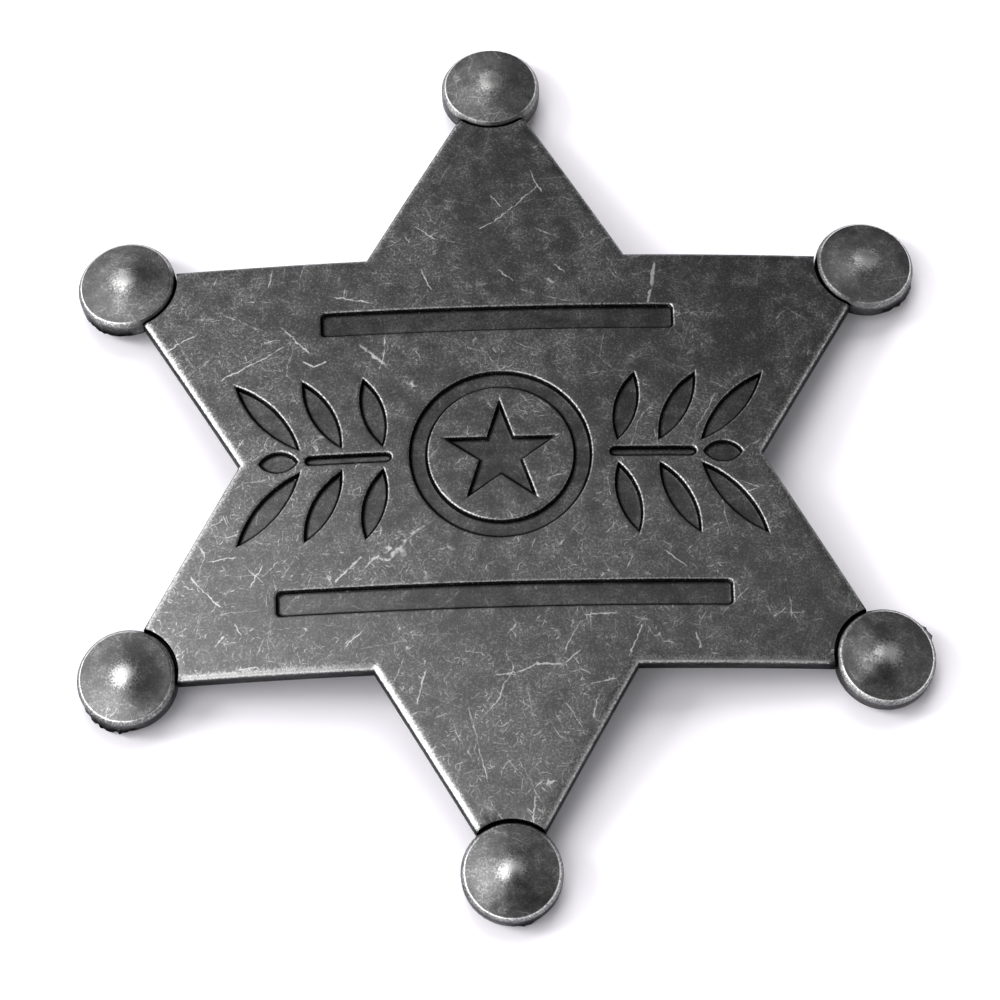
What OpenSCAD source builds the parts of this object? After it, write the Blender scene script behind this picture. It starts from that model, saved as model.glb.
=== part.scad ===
// Six-pointed star badge: a domed cast plate, a crowned button on each point and a pin on its back.
// It lies face up on the rims of its six buttons, with its top point along +Y.

/* [Star plate] */
// Radius of the six inner corners of the star, on the flat pattern
corner_r = 20.5; // [18:0.5:24]
// Radius of the dome that the face of the plate follows
dome_r = 218; // [190:1:240]
// Thickness of the plate
plate_t = 1.4; // [1.2:0.1:1.8]

/* [Tip buttons] */
// How far the centre of a button lies inside the sharp point of the star
button_inset = 1.4; // [1:0.1:2]
// Radius of a button at its rim
button_r = 3.95; // [3.6:0.05:4.5]
// Height of a button from the edge of its face down to its foot
button_h = 1.7; // [1.6:0.05:2.2]
// Width of the bevel round the face
rim_bevel_w = 0.33; // [0.2:0.01:0.5]
// Height of the bevel round the face
rim_bevel_h = 0.26; // [0.15:0.01:0.4]
// Slope of the conical crown, in degrees
crown_slope = 16; // [10:1:22]
// Radius that rounds the top of the crown
crown_round = 1.5; // [0.8:0.1:2.5]
// Width of the groove between a button and its arm
groove_w = 0.35; // [0.2:0.05:0.6]

/* [Button seats] */
// Radius of the round seat at the end of an arm, inside the button
seat_r = 2.6; // [2.2:0.1:3]
// Thickness of the seat and of the neck that carries it
seat_t = 0.75; // [0.5:0.05:0.9]
// Width of the neck under the groove
neck_w = 3.2; // [2.4:0.1:3.6]
// Gap left all round between two pieces that are joined
joint_gap = 0.05; // [0.03:0.01:0.1]

/* [Recessed bars] */
// Depth of every recess in the face
recess_depth = 0.5; // [0.3:0.05:0.7]
// Length of the upper bar
upper_bar_l = 28; // [22:0.5:32]
// Length of the lower bar
lower_bar_l = 35.6; // [30:0.2:38]
// Width of both bars
bar_w = 2.2; // [1.6:0.1:3]
// Distance of each bar from the middle of the badge
bar_y = 11.95; // [11:0.05:13]
// Radius of the corners of the bars
bar_corner_r = 0.3; // [0.15:0.05:0.6]

/* [Ornament] */
// Outer radius of the ring in the middle
ring_r = 7.2; // [6.5:0.1:8]
// Width of the ring
ring_w = 1.5; // [1:0.1:1.8]
// Radius of the small star inside the ring, at its points
small_star_r = 4.8; // [4:0.1:5]
// Number of leaf pairs on each sprig
leaf_pairs = 3; // [2:1:3]
// Distance between leaf pairs along the stem
leaf_pitch = 3; // [2.8:0.1:3.2]
// Distance of the leaf tips from the middle of the stem
leaf_reach = 7; // [6:0.1:7.5]
// Widest part of a leaf
leaf_w = 1.9; // [1.4:0.05:2]
// Angle between the stem and the leaves nearest the ring, in degrees
first_leaf_angle = 76; // [68:1:80]
// Angle between the stem and the leaves nearest its end, in degrees
last_leaf_angle = 50; // [48:1:60]
// Length of the leaf at the end of a stem
end_leaf_l = 3.2; // [2.6:0.1:3.6]
// Width of the stem
stem_w = 0.9; // [0.6:0.1:1.1]
// Width of the metal left between a stem and its leaves
leaf_gap = 0.45; // [0.3:0.05:0.6]
// Width of the metal left between the ring and a stem
sprig_gap = 1.3; // [1:0.1:1.6]

/* [Brooch pin] */
// Length of the base bar on the back
pin_bar_l = 26; // [22:1:28]
// Width of the base bar
pin_bar_w = 4; // [3:0.5:5]
// Thickness of the base bar
pin_bar_t = 0.6; // [0.4:0.05:0.7]
// Radius of the needle
needle_r = 0.4; // [0.3:0.05:0.45]
// Length of the needle's sharp end
needle_point_l = 2.4; // [1.5:0.1:3]
// Distance from the base bar to the axis of the needle
needle_drop = 1.15; // [1.05:0.05:1.2]
// Radius of the needle's blunted tip
needle_tip_r = 0.1; // [0.05:0.01:0.15]
// Radius of the hinge knuckle and of the catch, outside
knuckle_r = 1.05; // [1:0.05:1.1]
// Width of the hinge knuckle
knuckle_w = 3; // [2:0.5:3.5]
// Length of the catch along the needle
catch_l = 2; // [1.5:0.1:2.4]
// Thickness of the catch's bent wall
catch_wall = 0.4; // [0.3:0.05:0.5]
// Height of the catch's open side
catch_mouth = 0.9; // [0.8:0.05:1.1]
// Distance of the hinge and the catch from the ends of the base bar
knuckle_inset = 1.3; // [1.2:0.1:2]

/* [Hidden] */
// Facets on round shapes
$fn = 96;
// Sharp points of the star, on the flat pattern
point_r = corner_r * sqrt(3);
// Centre of a button, from the middle of the badge
button_centre_r = point_r - button_inset;
// Tilt of a button, square to the dome
button_tilt = asin(button_centre_r / dome_r);
// Height of the dome's centre that puts the feet of the buttons at zero
dome_z = button_r * sin(button_tilt) - (dome_r - button_h) * cos(button_tilt);
// A reach longer than the badge, for cutting shapes
reach = 2 * point_r;
// A small overlap that joins two shapes into one solid, or carries a cut past a face
lap = 0.5;
// Turns the seam of the dome away from the corners of the star and the ornament
seam_turn = 283;
// Radius of the base bar's upper face, which follows the back of the plate
pin_bar_r = dome_r - plate_t - joint_gap;
// Distance of the hinge and of the catch from the middle
pin_end_x = pin_bar_l / 2 - knuckle_inset;
// Height of the needle's axis, below the base bar's lower face at the hinge and the catch
needle_z = dome_z + sqrt(pow(pin_bar_r - pin_bar_t, 2) - pow(pin_end_x, 2)) - needle_drop;
// Angle of the top point, anticlockwise from the right, and of the others, a sixth of a turn apart
TOP = 90;
UPPER_LEFT = TOP + 60;
LOWER_LEFT = TOP + 120;
BOTTOM = TOP + 180;
LOWER_RIGHT = TOP + 240;
UPPER_RIGHT = TOP - 60;
POINTS = [UPPER_RIGHT, TOP, UPPER_LEFT, LOWER_LEFT, BOTTOM, LOWER_RIGHT];

// Everything below a sphere about the dome's centre, as far down as the badge needs
module dome_cap(r) {
  rotate([0, 0, seam_turn])
    rotate_extrude($fn = 180)
      intersection() {
        translate([0, dome_z]) circle(r = r, $fn = 720);
        translate([0, -reach]) square([reach, 2 * reach]);
      }
}

// Puts children on the dome's face, upright on it, at a distance and an angle from the middle
module on_dome(distance, angle) {
  rotate([0, 0, angle])
    translate([0, 0, dome_z])
      rotate([0, asin(distance / dome_r), 0])
        translate([0, 0, dome_r])
          children();
}

// The star seen from above: two crossed triangles
module star_outline() {
  for (turn = [TOP, BOTTOM]) rotate(turn) circle(r = point_r, $fn = 3);
}

// Outline of a bar with round corners
module bar_outline(length) {
  straight_l = length - 2 * bar_corner_r;
  straight_w = bar_w - 2 * bar_corner_r;
  square([straight_l, bar_w], center = true);
  square([length, straight_w], center = true);
  for (x = [-1, 1], y = [-1, 1])
    translate([x * straight_l / 2, y * straight_w / 2]) circle(r = bar_corner_r, $fn = 24);
}

// A leaf from its stalk at the origin, along +X: the overlap of two equal circles
module leaf_outline(length) {
  curve_r = (pow(length, 2) + pow(leaf_w, 2)) / (4 * leaf_w);
  intersection_for (side = [-1, 1])
    translate([length / 2, side * (curve_r - leaf_w / 2)])
      circle(r = curve_r);
}

// A sprig along +X: a round-ended stem, pairs of leaves beside it and one leaf at its end
module sprig_outline() {
  leaf_foot = stem_w / 2 + leaf_gap;
  stem_l = leaf_pitch * (leaf_pairs - 1) + stem_w;
  translate([ring_r + sprig_gap, 0]) {
    translate([stem_w / 2, 0]) circle(d = stem_w, $fn = 48);
    translate([stem_w / 2, -stem_w / 2]) square([stem_l - stem_w, stem_w]);
    translate([stem_l - stem_w / 2, 0]) circle(d = stem_w, $fn = 48);
    translate([stem_l + leaf_gap, 0]) leaf_outline(end_leaf_l);
    for (pair = [0 : leaf_pairs - 1], side = [-1, 1])
      let (angle = first_leaf_angle - (first_leaf_angle - last_leaf_angle) * pair / (leaf_pairs - 1))
        translate([stem_w / 2 + pair * leaf_pitch, 0])
          rotate(side * angle)
            translate([leaf_foot / sin(angle), 0])
              leaf_outline((leaf_reach - leaf_foot) / sin(angle));
  }
}

// A regular five-pointed star with one point up
module small_star_outline() {
  inner_r = small_star_r * sin(18) / cos(36);
  polygon([for (i = [0 : 9])
    let (r = i % 2 == 0 ? small_star_r : inner_r) [r * sin(36 * i), r * cos(36 * i)]]);
}

// Everything that is sunk into the face, seen from above
module recess_outlines() {
  translate([0, bar_y]) bar_outline(upper_bar_l);
  translate([0, -bar_y]) bar_outline(lower_bar_l);
  difference() {
    circle(r = ring_r);
    circle(r = ring_r - ring_w);
  }
  small_star_outline();
  sprig_outline();
  mirror([1, 0]) sprig_outline();
}

// The space that the recesses take out of the face
module recesses() {
  difference() {
    linear_extrude(height = reach) rotate(TOP - 90) recess_outlines();
    dome_cap(dome_r - recess_depth);
  }
}

// The round seat and the neck that carry a button. The button is cut with the same shape,
// grown by a gap and carried down through its foot.
module button_seat(gap, foot) {
  height = foot + seat_t + gap;
  neck_l = button_r + groove_w + lap;
  translate([0, 0, -plate_t - foot]) {
    cylinder(r = seat_r + gap, h = height);
    translate([-neck_l, -neck_w / 2 - gap, 0]) cube([neck_l, neck_w + 2 * gap, height]);
  }
}

module star_plate() {
  color([0.36, 0.36, 0.37]) {
    difference() {
      intersection() {
        linear_extrude(height = reach, center = true) star_outline();
        difference() {
          dome_cap(dome_r);
          dome_cap(dome_r - plate_t);
        }
      }
      recesses();
      for (angle = POINTS)
        on_dome(button_centre_r, angle)
          cylinder(r = button_r + groove_w, h = reach, center = true);
    }
    for (angle = POINTS)
      on_dome(button_centre_r, angle) button_seat(0, 0);
  }
}

// Half section of a button: foot, rim, bevel and crown
module button_section() {
  face_r = button_r - rim_bevel_w;
  crown_centre = face_r * tan(crown_slope) - crown_round / cos(crown_slope);
  touch_r = crown_round * sin(crown_slope);
  touch_z = crown_centre + crown_round * cos(crown_slope);
  polygon([[0, -button_h], [button_r, -button_h], [button_r, -rim_bevel_h], [face_r, 0],
           [touch_r, touch_z], [0, touch_z]]);
  intersection() {
    translate([0, crown_centre]) circle(r = crown_round);
    translate([0, touch_z - lap]) square([touch_r, crown_round]);
  }
}

module tip_button(angle) {
  color([0.45, 0.45, 0.46])
    on_dome(button_centre_r, angle)
      difference() {
        rotate_extrude() button_section();
        button_seat(joint_gap, button_h);
      }
}

// The base bar, a strip bent to follow the back of the plate
module pin_base() {
  intersection() {
    cube([pin_bar_l, pin_bar_w, reach], center = true);
    difference() {
      dome_cap(pin_bar_r);
      dome_cap(pin_bar_r - pin_bar_t);
    }
  }
}

// A block from the needle's axis up into the base bar, for the hinge and for the catch
module pin_post(length, width) {
  translate([-length / 2, -width / 2, 0]) cube([length, width, needle_drop + pin_bar_t / 2]);
}

// The hinge, a plain solid knuckle across the needle's blunt end
module pin_hinge() {
  translate([-pin_end_x, 0, needle_z]) {
    rotate([90, 0, 0]) cylinder(r = knuckle_r, h = knuckle_w, center = true);
    pin_post(2 * knuckle_r, knuckle_w);
  }
}

// A hook round the needle's sharp end, open on the side that the needle comes in from
module pin_catch() {
  translate([pin_end_x, 0, needle_z])
    difference() {
      union() {
        rotate([0, 90, 0]) cylinder(r = knuckle_r, h = catch_l, center = true);
        pin_post(catch_l, knuckle_r);
      }
      rotate([0, 90, 0]) cylinder(r = knuckle_r - catch_wall, h = catch_l + lap, center = true);
      translate([-catch_l, 0, -catch_mouth / 2]) cube([2 * catch_l, 2 * knuckle_r, catch_mouth]);
    }
}

// The needle, from the middle of the hinge to its sharp end in the catch
module pin_needle() {
  shank_l = 2 * pin_end_x + catch_l / 2 - needle_point_l;
  translate([-pin_end_x, 0, needle_z])
    rotate([0, 90, 0]) {
      cylinder(r = needle_r, h = shank_l);
      translate([0, 0, shank_l]) cylinder(r1 = needle_r, r2 = needle_tip_r, h = needle_point_l);
    }
}

module brooch_pin() {
  color([0.6, 0.6, 0.6]) {
    pin_base();
    pin_hinge();
    pin_catch();
    pin_needle();
  }
}

star_plate();
tip_button(TOP);  // tip_button_top
tip_button(UPPER_RIGHT);  // tip_button_upper_right
tip_button(LOWER_RIGHT);  // tip_button_lower_right
tip_button(BOTTOM);  // tip_button_bottom
tip_button(LOWER_LEFT);  // tip_button_lower_left
tip_button(UPPER_LEFT);  // tip_button_upper_left
brooch_pin();
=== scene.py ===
# %% [markdown]
# # A six-pointed star badge in antiqued metal
# The real badge is one domed cast plate with a round button soldered on each point and a brooch
# pin on its back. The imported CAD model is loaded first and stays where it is: everything that
# follows is modelled over it, in the same frame, so that each piece lands where the solids say.

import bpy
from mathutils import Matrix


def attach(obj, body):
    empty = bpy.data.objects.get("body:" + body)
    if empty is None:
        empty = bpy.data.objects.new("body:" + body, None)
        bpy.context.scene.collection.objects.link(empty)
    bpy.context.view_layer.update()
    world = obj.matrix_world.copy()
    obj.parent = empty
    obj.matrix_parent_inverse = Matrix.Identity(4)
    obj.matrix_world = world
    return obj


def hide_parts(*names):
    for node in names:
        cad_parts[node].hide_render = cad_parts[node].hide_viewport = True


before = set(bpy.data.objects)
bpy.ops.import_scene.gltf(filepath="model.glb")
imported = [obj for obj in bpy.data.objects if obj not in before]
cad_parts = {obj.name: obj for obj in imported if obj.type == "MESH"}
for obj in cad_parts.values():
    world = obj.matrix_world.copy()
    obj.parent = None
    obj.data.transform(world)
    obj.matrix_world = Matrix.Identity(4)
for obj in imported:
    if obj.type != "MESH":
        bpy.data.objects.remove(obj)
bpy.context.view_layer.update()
print("nodes:", ", ".join(sorted(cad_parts)))

# %% [markdown]
# ## Sizes
# The sizes are those of the solids, in millimetres, because a badge is easier to think about in
# millimetres than in metres. Every mesh is modelled in millimetres and scaled once, at the end.

# %% Sizes of the badge, in millimetres
import math

import bmesh
import bpy
from mathutils import Matrix, Vector, noise

MM = 0.001
CORNER_R = 20.5
DOME_R = 218.0
PLATE_T = 1.4
BUTTON_INSET = 1.4
BUTTON_R = 3.95
BUTTON_H = 1.7
GROOVE_W = 0.35
SEAT_R = 2.6
SEAT_T = 0.75
NECK_W = 3.2
JOINT_GAP = 0.05

EDGE_LINE = CORNER_R * math.cos(math.radians(30))
BUTTON_CENTRE = CORNER_R * math.sqrt(3) - BUTTON_INSET
BUTTON_TILT = math.asin(BUTTON_CENTRE / DOME_R)
DOME_Z = BUTTON_R * math.sin(BUTTON_TILT) - (DOME_R - BUTTON_H) * math.cos(BUTTON_TILT)
APEX_Z = DOME_Z + DOME_R
POINTS = {"upper_right": 30, "top": 90, "upper_left": 150,
          "lower_left": 210, "bottom": 270, "lower_right": 330}
print(f"dome: apex {APEX_Z:.2f} mm up, buttons tilted {math.degrees(BUTTON_TILT):.1f} degrees")

# %% [markdown]
# ## Camera
# The photograph was taken from in front and above with a long lens, so the star looks a little
# shorter than it is wide. A camera was fitted to its corners and tips: 65 degrees above the table,
# rolled a little, with a lens of 216 mm at 470 mm from the dome's top.

# %% Camera at the photograph's angle
def add_object(name, data):
    made = bpy.data.objects.new(name, data)
    bpy.context.scene.collection.objects.link(made)
    return made


CAMERA_ELEVATION = math.radians(65.247)
CAMERA_AZIMUTH = math.radians(0.014)
CAMERA_ROLL = math.radians(-1.599)
CAMERA_DISTANCE = 470.0
CAMERA_ASIDE = (-0.035, -3.733)
CAMERA_LENS = 216.1
NEAREST_SEEN = 0.01

back = Vector((math.sin(CAMERA_AZIMUTH) * math.cos(CAMERA_ELEVATION),
               -math.cos(CAMERA_AZIMUTH) * math.cos(CAMERA_ELEVATION),
               math.sin(CAMERA_ELEVATION)))
level = Vector((0, 0, 1)).cross(back).normalized()
upright = back.cross(level)
right = level * math.cos(CAMERA_ROLL) + upright * math.sin(CAMERA_ROLL)
up = upright * math.cos(CAMERA_ROLL) - level * math.sin(CAMERA_ROLL)
place = (Vector((0, 0, APEX_Z)) + right * CAMERA_ASIDE[0] + up * CAMERA_ASIDE[1]
         + back * CAMERA_DISTANCE) * MM

camera = add_object("camera", bpy.data.cameras.new("camera"))
camera.data.lens = CAMERA_LENS
camera.data.clip_start = NEAREST_SEEN
camera.matrix_world = Matrix.Translation(place) @ Matrix((right, up, back)).transposed().to_4x4()
bpy.context.scene.camera = camera
print("camera at, in mm:", [round(1000 * c, 1) for c in place])

# %% [markdown]
# ## Building blocks for meshes
# Each level of an outline is a closed loop of vertices. Loops come from circles, spun arcs and
# bevelled corners, and neighbouring loops are joined with bridge_loops, so that every rim, wall and
# floor keeps an even band of faces. Two values ride along on the vertices: how bright a place is,
# from wear and from a painted highlight, and how much black it holds, from antiquing and from
# painted shade. The bmesh operators keep them when faces are cut.

# %% Helpers for shapes
def clamp(value):
    return min(1.0, max(0.0, value))


def new_shape():
    """An empty bmesh with the two vertex values that the materials read."""
    bm = bmesh.new()
    bm.verts.layers.float.new("wear_and_highlight")
    bm.verts.layers.float.new("patina_and_shade")
    return bm


def bright_and_black_layers(bm):
    return bm.verts.layers.float["wear_and_highlight"], bm.verts.layers.float["patina_and_shade"]


def mark(bm, verts, wear_and_highlight, patina_and_shade):
    """Sets how bright and how black these vertices are."""
    wear_and_highlight_layer, patina_and_shade_layer = bright_and_black_layers(bm)
    for vert in verts:
        vert[wear_and_highlight_layer] = wear_and_highlight
        vert[patina_and_shade_layer] = patina_and_shade


def report(name, bm):
    """Prints whether a shape is closed, and how much it holds."""
    closed = all(len(edge.link_faces) == 2 for edge in bm.edges)
    print(f"{name}: closed {closed}, {len(bm.faces)} faces, {bm.calc_volume():.2f} mm3")


def finished_mesh(bm, name):
    """Writes a shape to a mesh and lets the shape go."""
    mesh = bpy.data.meshes.new(name)
    bm.to_mesh(mesh)
    bm.free()
    return mesh


# %% Helpers for loops of vertices
def spin_arc(bm, start, centre, degrees, steps):
    """Sweeps one vertex round a centre and gives the vertices of the arc, in order."""
    first = bm.verts.new(start)
    count = len(bm.verts)
    bmesh.ops.spin(bm, geom=[first], cent=centre, axis=(0, 0, 1), angle=math.radians(degrees),
                   steps=steps)
    bm.verts.ensure_lookup_table()
    return [first] + bm.verts[count:]


def closed_loop(bm, verts):
    """Joins vertices into a loop and gives its edges."""
    edges = []
    for one, two in zip(verts, verts[1:] + verts[:1]):
        edge = bm.edges.get((one, two)) or bm.edges.new((one, two))
        edges.append(edge)
    return edges


def loop_verts(edges):
    return list({vert for edge in edges for vert in edge.verts})


# %% [markdown]
# ## The star's outline
# Seen from above the plate is two crossed triangles, with a round bite out of each point for its
# button. One loop of that outline is made for each level of the rounded edge. The flanks move in
# more than the bites do, because tumbling wears a free edge and can't reach into a groove.

# %% Outline of the star at one level
ARC_STEPS = 20
# The casting's edge comes nearer to a button than the solid's does, so that less of the groove shows
GROOVE_FILLED = 0.20
GROOVE_SHOWN = GROOVE_W - GROOVE_FILLED


def star_loop(bm, flank_in, groove_in, depth):
    """The star's outline, moved in by so much at its flanks and at its button grooves."""
    line = EDGE_LINE - flank_in
    groove = BUTTON_R + GROOVE_SHOWN + groove_in
    reach = 2 * line - BUTTON_CENTRE
    half_width = (math.sqrt(12) * reach + math.sqrt(16 * groove ** 2 - 4 * reach ** 2)) / 8
    sweep = math.degrees(2 * math.asin(half_width / groove))
    verts = []
    for angle in POINTS.values():
        turn = Matrix.Rotation(math.radians(angle), 4, "Z")
        corner = turn @ Vector((2 * line - math.sqrt(3) * half_width, -half_width, depth))
        tip = turn @ Vector((BUTTON_CENTRE, 0, depth))
        verts += spin_arc(bm, corner, tip, -sweep, ARC_STEPS)
        inner = Matrix.Rotation(math.radians(angle + 30), 4, "Z")
        verts.append(bm.verts.new(inner @ Vector((line / math.cos(math.radians(30)), 0, depth))))
    return closed_loop(bm, verts)


# %% Rounded edge, side and back of the plate
# Each level: inward at the flanks, inward at the grooves, depth, worn, black
EDGE_LEVELS = [
    (0.80, 0.09, 0.00, 0.10, 0.0),
    (0.60, 0.07, 0.008, 0.25, 0.0),
    (0.42, 0.05, 0.028, 0.52, 0.0),
    (0.27, 0.035, 0.062, 0.88, 0.0),
    (0.15, 0.025, 0.115, 1.02, 0.0),
    # From here down, the edge, side and back hold black that is partly antiquing film and partly painted
    # shade
    (0.07, 0.015, 0.185, 0.45, 0.4),
    (0.02, 0.005, 0.27, 0.00, 0.78),
    (0.00, 0.00, 0.36, 0.00, 0.85),
    (0.00, 0.00, 0.50, 0.00, 0.85),
    (0.00, 0.00, 1.24, 0.00, 0.85),
    (0.05, 0.05, 1.34, 0.10, 0.7),
    (0.15, 0.15, 1.40, 0.10, 0.4),
]

plate = new_shape()
edge_loops = []
for flank_in, groove_in, depth, wear_and_highlight, patina_and_shade in EDGE_LEVELS:
    edge_loop = star_loop(plate, flank_in, groove_in, -depth)
    mark(plate, loop_verts(edge_loop), wear_and_highlight, patina_and_shade)
    edge_loops.append(edge_loop)
for upper, lower in zip(edge_loops, edge_loops[1:]):
    bmesh.ops.bridge_loops(plate, edges=upper + lower)
bmesh.ops.triangle_fill(plate, edges=edge_loops[-1], use_beauty=True, normal=(0, 0, -1))
print("edge, side and back:", len(plate.faces), "faces")

# %% [markdown]
# ## Recesses
# The bars and the ornament are sunk into the face by the mould: a worn rim, a steep wall that stays
# black, a small fillet and a smooth floor. Every motif is drawn once as a flat outline, then its
# rim is extruded level by level while it is scaled, so the wall keeps one slope all round.

# %% Sink a motif into the face
# Each level: inward from the outline, depth, worn, black
RECESS_LEVELS = [
    (-0.14, 0.000, 0.10, 0.00),
    (-0.08, 0.006, 0.40, 0.00),
    (-0.03, 0.030, 0.62, 0.00),
    (0.01, 0.070, 0.30, 0.30),
    (0.04, 0.130, 0.10, 0.90),
    (0.15, 0.350, 0.00, 1.00),
    (0.18, 0.420, 0.00, 1.00),
    (0.23, 0.470, 0.00, 0.80),
    (0.30, 0.495, 0.00, 0.55),
    (0.38, 0.500, 0.00, 0.32),
]
RIM_GROWTH = -RECESS_LEVELS[0][0]


def sink_loop(bm, edges, size_at):
    """Extrudes a rim down through the levels, scaled about the origin, and gives the floor's edge."""
    last_size = size_at(RECESS_LEVELS[0][0])
    last_depth = 0.0
    mark(bm, loop_verts(edges), *RECESS_LEVELS[0][2:])
    for inset, depth, wear_and_highlight, patina_and_shade in RECESS_LEVELS[1:]:
        made = bmesh.ops.extrude_edge_only(bm, edges=edges)["geom"]
        verts = [part for part in made if isinstance(part, bmesh.types.BMVert)]
        edges = [part for part in made if isinstance(part, bmesh.types.BMEdge)]
        size = size_at(inset)
        bmesh.ops.scale(bm, vec=(size[0] / last_size[0], size[1] / last_size[1], 1), verts=verts)
        bmesh.ops.translate(bm, vec=(0, 0, last_depth - depth), verts=verts)
        mark(bm, verts, wear_and_highlight, patina_and_shade)
        last_size, last_depth = size, depth
    return edges


def sunk_shape(bm, outline_edges, size_at, place):
    """Sinks one closed outline, fills its floor and puts it in place. Gives its rim."""
    before = set(bm.verts) - set(loop_verts(outline_edges))
    floor = sink_loop(bm, outline_edges, size_at)
    bmesh.ops.triangle_fill(bm, edges=floor, use_beauty=True, normal=(0, 0, 1))
    own = [vert for vert in bm.verts if vert not in before]
    bmesh.ops.transform(bm, matrix=place, verts=own)
    return outline_edges


# %% Bars and stems: a rectangle with bevelled corners
CORNER_STEPS = 6


def rounded_rectangle(bm, length, width, corner):
    face = bmesh.ops.create_grid(bm, x_segments=1, y_segments=1, size=0.5)["verts"]
    bmesh.ops.scale(bm, vec=(length, width, 1), verts=face)
    quad = face[0].link_faces[0]
    bmesh.ops.bevel(bm, geom=list(quad.verts), offset=corner, segments=CORNER_STEPS, profile=0.5,
                    affect="VERTICES", material=-1)
    quad = [face for face in bm.faces if len(face.verts) > 2 * CORNER_STEPS
            and all(len(vert.link_faces) == 1 for vert in face.verts)][-1]
    edges = list(quad.edges)
    bmesh.ops.delete(bm, geom=[quad], context="FACES_ONLY")
    return edges


def sink_bar(bm, length, width, corner, place):
    grown = 2 * RIM_GROWTH
    edges = rounded_rectangle(bm, length + grown, width + grown, corner + RIM_GROWTH)
    return sunk_shape(bm, edges, lambda inset: (length - 2 * inset, width - 2 * inset), place)


BAR_Y, BAR_W, BAR_CORNER = 11.95, 2.2, 0.3
UPPER_BAR_L, LOWER_BAR_L = 28.0, 35.6
rims = [
    sink_bar(plate, UPPER_BAR_L, BAR_W, BAR_CORNER, Matrix.Translation((0, BAR_Y, 0))),
    sink_bar(plate, LOWER_BAR_L, BAR_W, BAR_CORNER, Matrix.Translation((0, -BAR_Y, 0))),
]
print("bars:", len(plate.faces), "faces")

# %% [markdown]
# ## Ornament
# Between the bars lies a five-pointed star in a ring, with a laurel sprig on each side. A star's
# five edges all lie at one distance from its middle, so scaling it moves each edge in evenly. A
# leaf is the overlap of two circles: two spun arcs from tip to tip.

# %% Ring and small star
RING_R, RING_W, RING_STEPS = 7.2, 1.5, 144
SMALL_STAR_R, SMALL_STAR_POINT, POINT_STEPS = 4.8, 0.25, 3


def sink_ring(bm):
    outer = bmesh.ops.create_circle(bm, segments=RING_STEPS, radius=RING_R + RIM_GROWTH)["verts"]
    inner = bmesh.ops.create_circle(bm, segments=RING_STEPS, radius=RING_R - RING_W - RIM_GROWTH)["verts"]
    outer_rim, inner_rim = closed_loop(bm, list(outer)), closed_loop(bm, list(inner))
    outer_floor = sink_loop(bm, outer_rim, lambda inset: (RING_R - inset,) * 2)
    inner_floor = sink_loop(bm, inner_rim, lambda inset: (RING_R - RING_W + inset,) * 2)
    bmesh.ops.triangle_fill(bm, edges=outer_floor + inner_floor, use_beauty=True, normal=(0, 0, 1))
    return outer_rim + inner_rim


def sink_small_star(bm):
    """Every second corner of a ten-sided face is moved in, which makes a regular star."""
    line = SMALL_STAR_R * math.sin(math.radians(18))
    grown = (line + RIM_GROWTH) / line
    verts = list(bmesh.ops.create_circle(bm, cap_ends=True, segments=10, radius=SMALL_STAR_R)["verts"])
    notch = math.sin(math.radians(18)) / math.cos(math.radians(36))
    bmesh.ops.scale(bm, vec=(grown, grown, 1), verts=verts)
    bmesh.ops.scale(bm, vec=(notch, notch, 1), verts=verts[1::2])
    turn = Matrix.Rotation(math.radians(90) - math.atan2(verts[0].co.y, verts[0].co.x), 4, "Z")
    bmesh.ops.rotate(bm, matrix=turn.to_3x3(), verts=verts)
    made = bmesh.ops.bevel(bm, geom=verts[0::2], offset=SMALL_STAR_POINT, segments=POINT_STEPS,
                           profile=0.5, affect="VERTICES", material=-1)
    face = made["verts"][0].link_faces[0]
    edges = list(face.edges)
    bmesh.ops.delete(bm, geom=[face], context="FACES_ONLY")
    return sunk_shape(bm, edges, lambda inset: (line - inset,) * 2, Matrix())


rims += [sink_ring(plate), sink_small_star(plate)]
print("ring and star:", len(plate.faces), "faces")

# %% Laurel sprigs
LEAF_PAIRS, LEAF_PITCH, LEAF_REACH, LEAF_W, LEAF_STEPS = 3, 3.0, 7.0, 1.9, 20
FIRST_LEAF, LAST_LEAF, END_LEAF_L = 76, 50, 3.2
STEM_W, LEAF_GAP, SPRIG_GAP = 0.9, 0.45, 1.3
STEM_CORNER = 0.45 * STEM_W


def sink_leaf(bm, length, place):
    curve = (length ** 2 + LEAF_W ** 2) / (4 * LEAF_W)
    aside = curve - LEAF_W / 2

    def half_length(inset):
        return math.sqrt((curve - inset) ** 2 - aside ** 2)

    tip = half_length(-RIM_GROWTH)
    sweep = math.degrees(2 * math.asin(tip / (curve + RIM_GROWTH)))
    upper, lower = (spin_arc(bm, (side * tip, 0, 0), (0, side * aside, 0), -sweep, LEAF_STEPS)
                    for side in (-1, 1))
    bmesh.ops.weld_verts(bm, targetmap={upper[-1]: lower[0], lower[-1]: upper[0]})
    edges = closed_loop(bm, upper[:-1] + lower[:-1])
    centred = place @ Matrix.Translation((length / 2, 0, 0))
    return sunk_shape(bm, edges, lambda inset: (half_length(inset), LEAF_W / 2 - inset), centred)


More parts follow.
